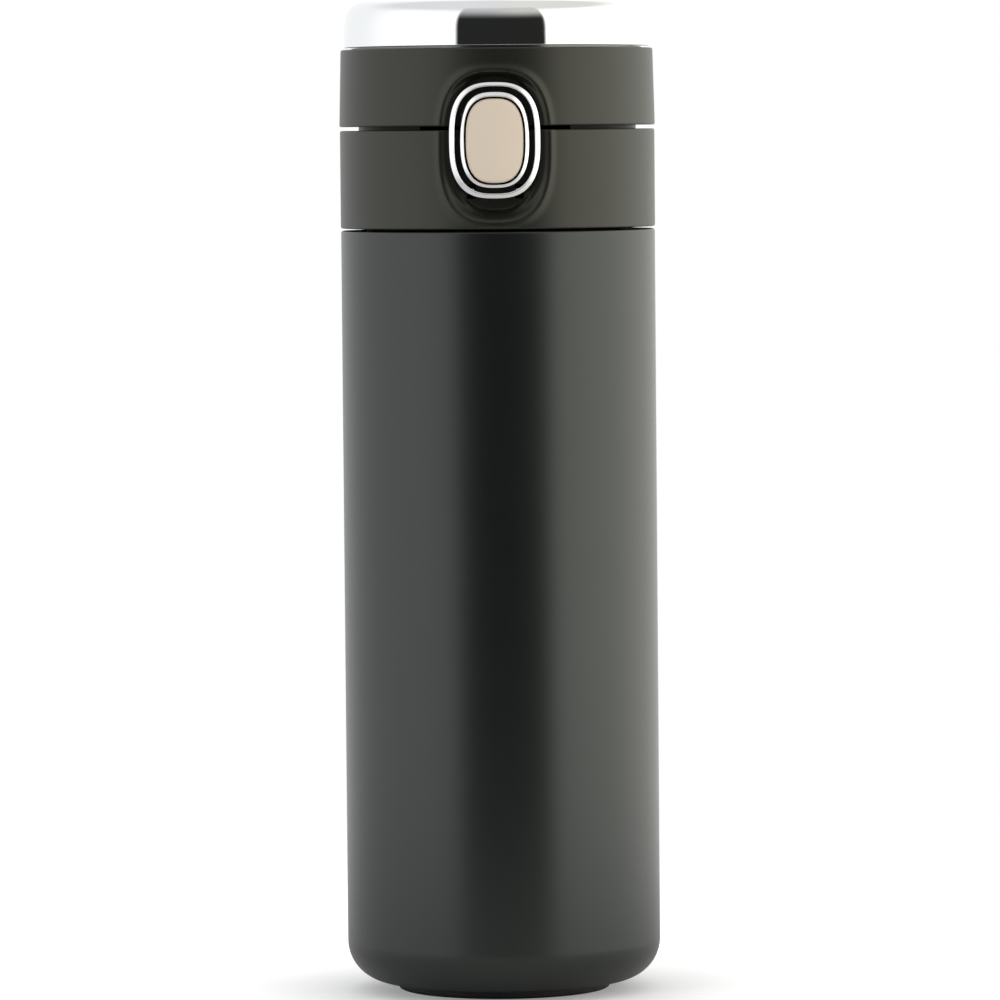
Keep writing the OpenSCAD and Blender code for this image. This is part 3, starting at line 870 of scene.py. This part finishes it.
def make_hinge_spring():
    """A torsion spring wound on the hinge pin, with one leg on the collar and one on the lid."""
    radius, half, turns, leg, wire, step = 1.7, 2.2, 5, 5.0, 0.34, 0.25
    steps = turns * 32
    front_y = hinge_y - radius
    path = [(-half, front_y, hinge_z - leg + step * k) for k in range(20)]
    for i in range(steps + 1):
        angle = 2 * math.pi * i / 32
        x = -half + 2 * half * i / steps
        path.append((x, hinge_y - radius * math.cos(angle), hinge_z + radius * math.sin(angle)))
    path += [(half, front_y, hinge_z + step * k) for k in range(1, 21)]
    spring = tube("torsion_spring", path, wire, spring_steel, sides=12)
    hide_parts("hinge_spring")
    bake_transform(spring)


def closed_ends(t):
    """How far along a compression spring its wire is, where the first and last coils lie close together."""
    coil, rise = 0.15, 0.06
    first = rise * min(t, coil) / coil
    middle = (1 - 2 * rise) * min(max((t - coil) / (1 - 2 * coil), 0), 1)
    last = rise * max(t - (1 - coil), 0) / coil
    return first + middle + last


def make_button_spring():
    """A compression spring behind the button, with its end coils laid close."""
    low, high = span("button_spring")
    z = middle_z("button_spring")
    wire, turns = 0.22, 5.5
    radius = (high[0] - low[0]) / 2 - wire
    start, end = low[1] + wire, high[1] - wire
    path = []
    steps = round(turns * 28)
    for i in range(steps + 1):
        angle = 2 * math.pi * turns * i / steps
        y = start + (end - start) * closed_ends(i / steps)
        path.append((radius * math.cos(angle), y, z + radius * math.sin(angle)))
    spring = tube("press_spring", path, wire, spring_steel, sides=10)
    finish_piece(spring, "collar", "button_spring")
    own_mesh(spring)


def make_spout():
    """The pouring spout with a thin rolled lip and a flange on the collar's deck."""
    (_, _, foot), (flange_r, _, top) = span("spout")
    inner_r, outer_r, socket_r = 15.5, 17.3, 18.3
    deck = collar_top - 0.8
    outline = rounded([
        (inner_r, foot, 0.4), (outer_r + 0.4, foot, 0.3), (socket_r, foot + 2, 0.3), (socket_r, deck, 0),
        (flange_r, deck, 0), (flange_r, deck + 0.9, 0.35), (socket_r + 0.2, deck + 1.2, 0.5),
        (outer_r, deck + 3, 1.2), (outer_r, top - 2.2, 0.3), (outer_r - 0.2, top - 1.8, 0.3),
        (outer_r, top, 0.75), (inner_r, top, 0.75)], steps=6)
    spout = lathe("spout_lip", outline, core_plastic, segments=224)
    finish_piece(spout, "collar", "spout")


def make_spout_seal():
    """The soft ring in the lid that closes on the spout, with a raised band in the middle."""
    (_, _, low), (_, _, high) = span("lid_gasket")
    inner_r, outer_r, step = 13.2, 19.2, 0.25
    outline = rounded([
        (inner_r, low + step, 0.2), (14.4, low + step, 0.2), (15.0, low, 0.2), (17.8, low, 0.2),
        (18.3, low + step, 0.2), (outer_r, low + step, 0.2), (outer_r, high, 0), (inner_r, high, 0)], steps=4)
    seal = lathe("spout_seal", outline, silicone, segments=224)
    finish_piece(seal, "lid", "lid_gasket")


def make_plug_seal():
    """The ring on the stopper's plug, with a lip at its top and another at its bottom."""
    (_, _, low), (wide, _, high) = span("plug_gasket")
    inner_r, waist_r, lip_r = 22.3, wide - 0.4, wide - 0.45
    outline = rounded([
        (inner_r, low, 0.1), (lip_r, low, 0.1), (wide, low + 0.55, 0.25), (waist_r, low + 1.1, 0.2),
        (waist_r, high - 1.1, 0.2), (wide, high - 0.55, 0.25), (lip_r, high, 0.1),
        (inner_r, high, 0.1)], steps=4)
    seal = lathe("plug_seal", outline, silicone, segments=224)
    finish_piece(seal, "gasket_ring", "plug_gasket")


make_shell()
make_neck()
make_bottom()
make_foot()
make_collar()
make_lid()
make_cap()
make_lock_ring()
make_button()
make_carrier()
make_hinge_spring()
make_button_spring()
make_spout()
make_spout_seal()
make_plug_seal()

# ---------------------------------------------------------------- CAD nodes that stay

KEPT = {
    "inner_liner": liner_steel,
    "reflective_foil": foil_metal,
    "getter": seal_metal,
    "vacuum_seal": seal_metal,
    "stopper_core": core_plastic,
    "latch_cover": core_plastic,
    "hinge_pin": spring_steel,
    "lid_bumper": foot_rubber,
    "lid_liner": core_plastic,
    "lid_catch": spring_steel,
}
ROUNDED = ("latch_cover", "hinge_pin", "lid_bumper", "lid_catch")


def finish_kept_nodes():
    """Materials for the CAD nodes that show as they are, and rounded edges on the small ones."""
    for node, material in KEPT.items():
        for slot in frame["nodes"][node].material_slots:
            slot.material = material
    for node in ROUNDED:
        bevel = frame["nodes"][node].modifiers.new("edges", "BEVEL")
        bevel.width = 0.00015
        bevel.segments = 2
        bevel.limit_method = "ANGLE"
        bevel.angle_limit = math.radians(40)


finish_kept_nodes()

# ---------------------------------------------------------------- studio


ORBIT = 0.95            # degrees that the camera stands to the right of the flask's front
GAP_MIDDLE = 3.6        # degrees from the camera to the middle of the dark gap in front of the flask
GAP_HALF = 34.1
GAP_LEVEL = 0.02
OVERHEAD_LEVEL = 0.80


def math_node(tree, kind, a, b=None, clamp=False):
    """A math node on one or two values, each a number or an output."""
    node = tree.nodes.new("ShaderNodeMath")
    node.operation = kind
    node.use_clamp = clamp
    for i, value in enumerate(v for v in (a, b) if v is not None):
        if isinstance(value, (int, float)):
            node.inputs[i].default_value = value
        else:
            tree.links.new(value, node.inputs[i])
    return node.outputs[0]


def between(tree, t, first, second):
    """The first value where t is 0, the second where t is 1."""
    part = math_node(tree, "MULTIPLY", math_node(tree, "SUBTRACT", 1.0, t), first)
    return math_node(tree, "ADD", part, math_node(tree, "MULTIPLY", t, second))


def smooth(tree, value, start, end, low=0.0, high=1.0):
    """A soft step from low to high, while a value goes from start to end."""
    node = tree.nodes.new("ShaderNodeMapRange")
    node.interpolation_type = "SMOOTHSTEP"
    tree.links.new(value, node.inputs["Value"])
    for key, v in (("From Min", start), ("From Max", end), ("To Min", low), ("To Max", high)):
        node.inputs[key].default_value = v
    return node.outputs["Result"]


def over(tree, angle, start, end, low=0.0, high=1.0):
    """A soft step between two angles in degrees."""
    return smooth(tree, angle, math.radians(start), math.radians(end), low, high)


def make_floor():
    """A small pale table top that fades into the white background. To camera rays it glows, less near the
    foot, so a painted shadow lies round the base and the floor further out reads white. It is clear from
    below, and open under the foot, so that the underside can be looked at."""
    material = grained("floor", grey(0.70), grey(0.72), (0.6, 0.7), 80, 1e-6)
    tree = material.node_tree
    shader = tree.nodes["Principled BSDF"]
    shader.inputs["Emission Color"].default_value = (1, 1, 1, 1)
    coords = tree.nodes.new("ShaderNodeTexCoord")
    reach = tree.nodes.new("ShaderNodeVectorMath")
    reach.operation = "LENGTH"
    tree.links.new(coords.outputs["Object"], reach.inputs[0])
    # Painted glow for camera rays only: weak within 30 mm of the middle and full from 75 mm out, so it paints
    # a soft shadow round the foot and makes the rest of the floor read white.
    seen = tree.nodes.new("ShaderNodeLightPath").outputs["Is Camera Ray"]
    glow = ranged(tree, reach.outputs["Value"], 0.26, 0.62, 0.030, 0.075)
    tree.links.new(math_node(tree, "MULTIPLY", glow, seen), shader.inputs["Emission Strength"])
    back = tree.nodes.new("ShaderNodeNewGeometry").outputs["Backfacing"]
    fade = ranged(tree, reach.outputs["Value"], 1.0, 0.0, 0.12, 0.38)
    tree.links.new(math_node(tree, "SUBTRACT", fade, back, clamp=True), shader.inputs["Alpha"])
    sides = 96
    turns = [2 * math.pi * k / sides for k in range(sides)]
    radii = (foot_r - 1.0, 450.0)
    verts = [(r * math.cos(a), r * math.sin(a), 0) for r in radii for a in turns]
    faces = [[k, sides + k, sides + (k + 1) % sides, (k + 1) % sides] for k in range(sides)]
    make_object("floor", verts, faces, material)


def directions(tree):
    """The azimuth, from the flask's front round to its right, and the height of a direction, in radians."""
    coords = tree.nodes.new("ShaderNodeTexCoord")
    split = tree.nodes.new("ShaderNodeSeparateXYZ")
    tree.links.new(coords.outputs["Generated"], split.inputs[0])
    x, y, z = split.outputs
    azimuth = math_node(tree, "ARCTAN2", x, math_node(tree, "MULTIPLY", y, -1.0))
    limited = math_node(tree, "MINIMUM", math_node(tree, "MAXIMUM", z, -1.0), 1.0)
    return azimuth, math_node(tree, "ARCSINE", limited)


def outside_gap(tree, azimuth, height):
    """0 in the dark gap in front of the flask, and 1 on the panels round it."""
    off = math_node(tree, "ABSOLUTE", math_node(tree, "SUBTRACT", azimuth, math.radians(GAP_MIDDLE + ORBIT)))
    across = math_node(tree, "POWER", math_node(tree, "DIVIDE", off, math.radians(GAP_HALF)), 6.0)
    beside = smooth(tree, across, 0.7, 1.3)
    above = over(tree, height, 17, 62)
    below = over(tree, height, -50, -22, 1.0, 0.0)
    return between(tree, below, between(tree, beside, above, 1.0), 1.0)


def panel_level(tree, azimuth, height, to_right):
    """How bright the panels are, left and right, overhead and below the flask."""
    left = over(tree, azimuth, -125, -55, 1.0, 1.38)
    right = over(tree, azimuth, 102, 158, 1.95, 1.28)
    overhead = over(tree, height, 24, 50)
    level = between(tree, overhead, between(tree, to_right, left, right), OVERHEAD_LEVEL)
    return math_node(tree, "MULTIPLY", level, over(tree, height, -30, -6, 0.44, 1.0))


def make_world():
    """A white studio: a large panel on the left, a brighter one on the right, light overhead and behind,
    and a dark gap with soft corners round the camera. The camera itself sees plain white."""
    world = bpy.data.worlds.new("studio")
    bpy.context.scene.world = world
    world.use_nodes = True
    tree = world.node_tree
    tree.nodes.clear()
    new, link = tree.nodes.new, tree.links.new
    azimuth, height = directions(tree)
    to_right = smooth(tree, azimuth, -0.2, 0.4)
    level = panel_level(tree, azimuth, height, to_right)
    tone = mixed_colour(tree, to_right, (0.985, 1.0, 1.01), (1.0, 0.995, 0.95))
    glow = new("ShaderNodeBackground")
    link(tone, glow.inputs["Color"])
    link(between(tree, outside_gap(tree, azimuth, height), GAP_LEVEL, level), glow.inputs["Strength"])
    plain = new("ShaderNodeBackground")
    plain.inputs["Color"].default_value = (1, 1, 1, 1)
    plain.inputs["Strength"].default_value = 1.0
    mix = new("ShaderNodeMixShader")
    link(new("ShaderNodeLightPath").outputs["Is Camera Ray"], mix.inputs[0])
    link(glow.outputs[0], mix.inputs[1])
    link(plain.outputs[0], mix.inputs[2])
    link(mix.outputs[0], new("ShaderNodeOutputWorld").inputs["Surface"])


def make_camera():
    """A long lens a metre and a half away, level with the lid and tipped down to the flask's middle."""
    distance, eye_z, centre_z, field, aside = 1520.0, 192.6, 109.3, 223.3, -0.08
    data = bpy.data.cameras.new("camera")
    data.sensor_width = 36
    data.lens = 36 * distance / field
    data.clip_end = 100
    camera = bpy.data.objects.new("camera", data)
    bpy.context.scene.collection.objects.link(camera)
    turn = math.radians(ORBIT)
    camera.location = Vector((distance * math.sin(turn) + aside, -distance * math.cos(turn), eye_z)) * 0.001
    tilt = math.atan2(eye_z - centre_z, distance)
    roll = math.radians(-0.5)
    look = Matrix.Rotation(turn, 4, "Z") @ Matrix.Rotation(math.pi / 2 - tilt, 4, "X")
    camera.rotation_euler = (look @ Matrix.Rotation(roll, 4, "Z")).to_euler()
    bpy.context.scene.camera = camera


make_floor()
make_world()
make_camera()
bpy.context.scene.view_settings.view_transform = "Standard"
